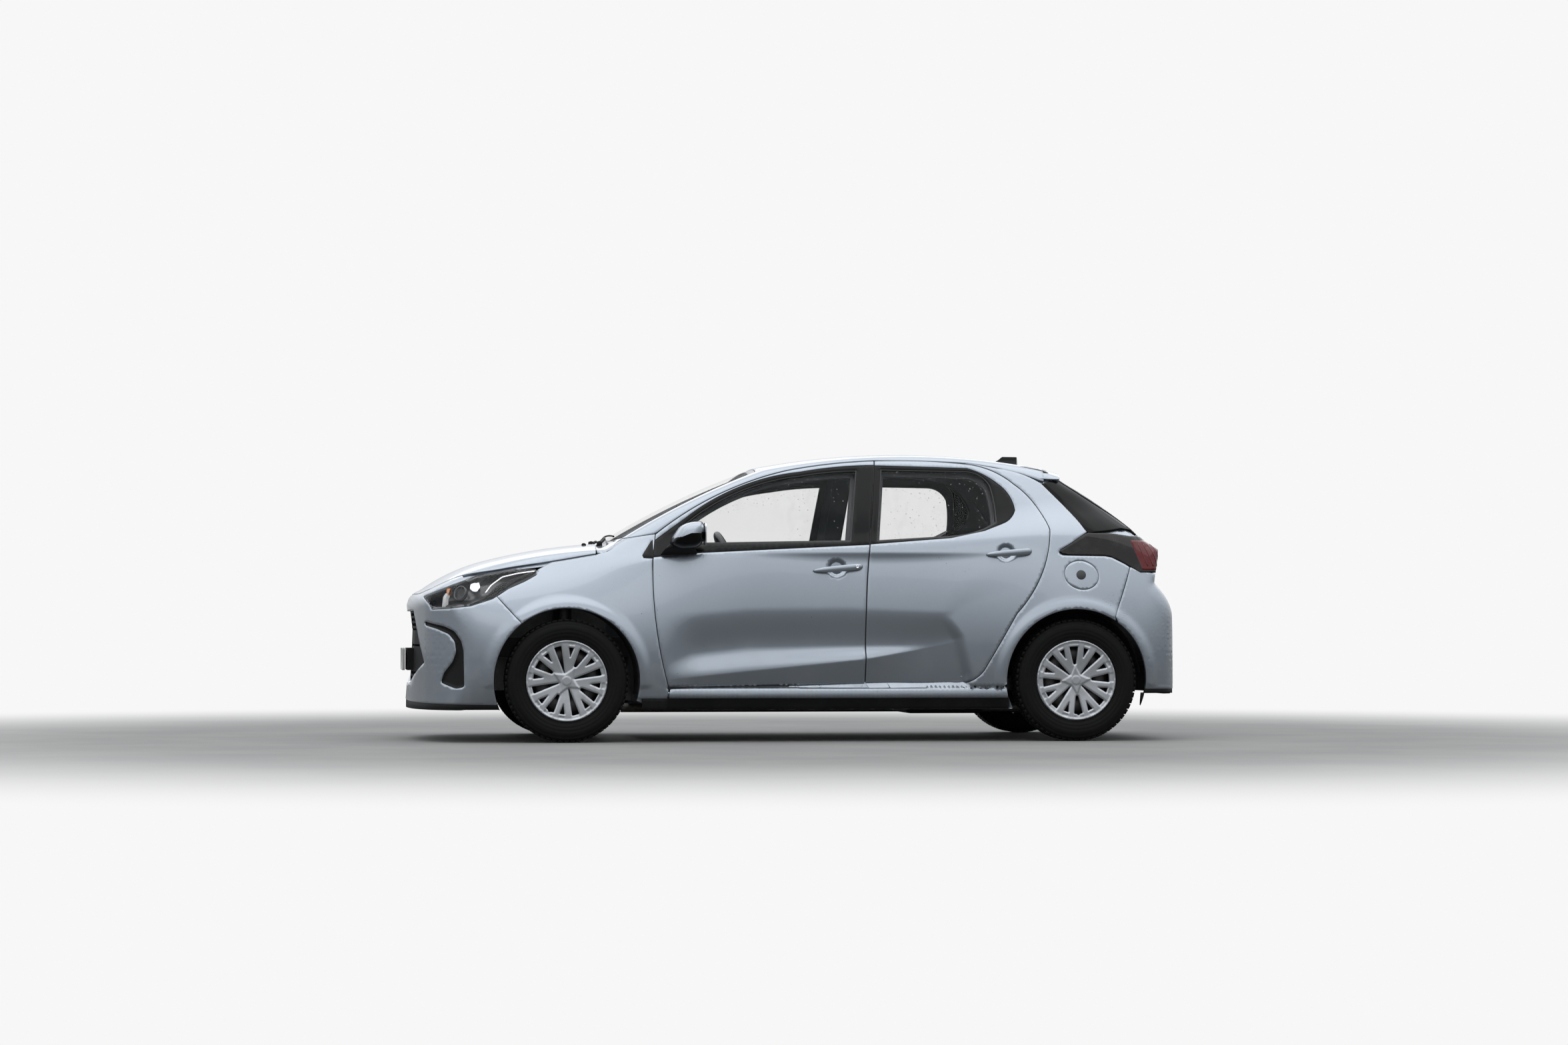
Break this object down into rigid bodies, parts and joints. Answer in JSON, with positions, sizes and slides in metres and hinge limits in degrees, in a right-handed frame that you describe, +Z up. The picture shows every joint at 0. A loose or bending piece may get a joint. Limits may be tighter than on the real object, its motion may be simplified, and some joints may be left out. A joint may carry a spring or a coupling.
{
  "type": "hatchback car",
  "caption": "Small five-door hatchback car with opening doors, hood and tailgate, steered front wheels, seats and a load space.",
  "frame": {"origin": "on the ground, in the middle of the overall length and width", "axes": "+X from the nose to the tail, +Y to the car's right, +Z up"},
  "size_m": [3.94, 1.9676, 1.467],
  "materials": {
    "paint": "metallic, glossy",
    "black_trim": "satin",
    "glass": "clear",
    "dark_glass": "privacy tint",
    "lamp": "clear over chrome",
    "tail_lamp": "smoked",
    "rubber": "moulded",
    "wheel": "silver lacquer",
    "steel": "cast and forged",
    "iron": "coated",
    "cabin": "grained",
    "fabric": "woven"
  },
  "bodies": {
    "body": {"antenna_fin": "paint", "body_sides": "paint", "cowl": "black_trim", "dashboard": "cabin", "engine_block": "iron", "exhaust": "steel", "floor_pan": "iron", "front_bumper": "paint", "front_fenders": "paint", "front_frame": "iron", "front_seats": "fabric", "front_subframe": "iron", "fuel_tank": "black_trim", "grille": "black_trim", "headlamps": "lamp", "number_plate": "black_trim", "radiator": "iron", "rear_axle_beam": "iron", "rear_bench": "fabric", "rear_bumper": "paint", "roof_panel": "paint", "steering_column": "cabin", "tail_lamps": "tail_lamp", "wheel_liners": "black_trim", "windscreen": "glass"},
    "hood_lid": {"hood": "paint"},
    "front_door_left": {"front_door_left": "paint", "front_glass_left": "glass", "mirror_left": "paint"},
    "front_door_right": {"front_door_right": "paint", "front_glass_right": "glass", "mirror_right": "paint"},
    "rear_door_left": {"rear_door_left": "paint", "rear_glass_left": "glass"},
    "rear_door_right": {"rear_door_right": "paint", "rear_glass_right": "glass"},
    "tailgate": {"tailgate": "paint", "rear_window": "dark_glass", "spoiler": "paint"},
    "fuel_flap": {"fuel_flap": "paint"},
    "knuckle_left": {"knuckle_left": "steel"},
    "knuckle_right": {"knuckle_right": "steel"},
    "steering_wheel": {"steering_wheel": "cabin"},
    "wheel_front_left": {"wheel_front_left": "wheel", "tyre_front_left": "rubber"},
    "wheel_front_right": {"wheel_front_right": "wheel", "tyre_front_right": "rubber"},
    "wheel_rear_left": {"wheel_rear_left": "wheel", "tyre_rear_left": "rubber"},
    "wheel_rear_right": {"wheel_rear_right": "wheel", "tyre_rear_right": "rubber"}
  },
  "joints": [
    {"name": "steer_left", "type": "hinge", "parent": "body", "child": "knuckle_left", "pos_m": [-1.172, -0.69, 0.196], "axis": [0, 0.225, 0.9744], "range_deg": [-35, 35]},
    {"name": "steer_right", "type": "hinge", "parent": "body", "child": "knuckle_right", "pos_m": [-1.172, 0.69, 0.196], "axis": [0, -0.225, 0.9744], "range_deg": [-35, 35]},
    {"name": "steering_wheel_turn", "type": "hinge", "parent": "body", "child": "steering_wheel", "pos_m": [-0.302, -0.37, 0.88], "axis": [0.9063, 0, 0.4226], "range_deg": [-500, 500]},
    {"name": "spin_front_left", "type": "hinge", "parent": "knuckle_left", "child": "wheel_front_left", "pos_m": [-1.172, -0.765, 0.306], "axis": [0, -1, 0], "continuous": true},
    {"name": "spin_front_right", "type": "hinge", "parent": "knuckle_right", "child": "wheel_front_right", "pos_m": [-1.172, 0.765, 0.306], "axis": [0, -1, 0], "continuous": true},
    {"name": "spin_rear_left", "type": "hinge", "parent": "body", "child": "wheel_rear_left", "pos_m": [1.388, -0.765, 0.306], "axis": [0, -1, 0], "continuous": true},
    {"name": "spin_rear_right", "type": "hinge", "parent": "body", "child": "wheel_rear_right", "pos_m": [1.388, 0.765, 0.306], "axis": [0, -1, 0], "continuous": true},
    {"name": "hood_open", "type": "hinge", "parent": "body", "child": "hood_lid", "pos_m": [-1.007, 0, 0.992], "axis": [0, 1, 0], "range_deg": [0, 50]},
    {"name": "front_door_left_open", "type": "hinge", "parent": "body", "child": "front_door_left", "pos_m": [-0.722, -0.857, 0.6], "axis": [0, 0, -1], "range_deg": [0, 68]},
    {"name": "front_door_right_open", "type": "hinge", "parent": "body", "child": "front_door_right", "pos_m": [-0.722, 0.857, 0.6], "axis": [0, 0, 1], "range_deg": [0, 68]},
    {"name": "rear_door_left_open", "type": "hinge", "parent": "body", "child": "rear_door_left", "pos_m": [0.346, -0.85, 0.6], "axis": [0, 0, -1], "range_deg": [0, 72]},
    {"name": "rear_door_right_open", "type": "hinge", "parent": "body", "child": "rear_door_right", "pos_m": [0.346, 0.85, 0.6], "axis": [0, 0, 1], "range_deg": [0, 72]},
    {"name": "tailgate_open", "type": "hinge", "parent": "body", "child": "tailgate", "pos_m": [1.282, 0, 1.404], "axis": [0, -1, 0], "range_deg": [0, 80]},
    {"name": "fuel_flap_open", "type": "hinge", "parent": "body", "child": "fuel_flap", "pos_m": [1.338, -0.852, 0.833], "axis": [0, 0, -1], "range_deg": [0, 95]}
  ],
  "couplings": [
    {"joint": "steer_right", "follows": "steer_left", "ratio": 1},
    {"joint": "steering_wheel_turn", "follows": "steer_left", "ratio": 14}
  ]
}
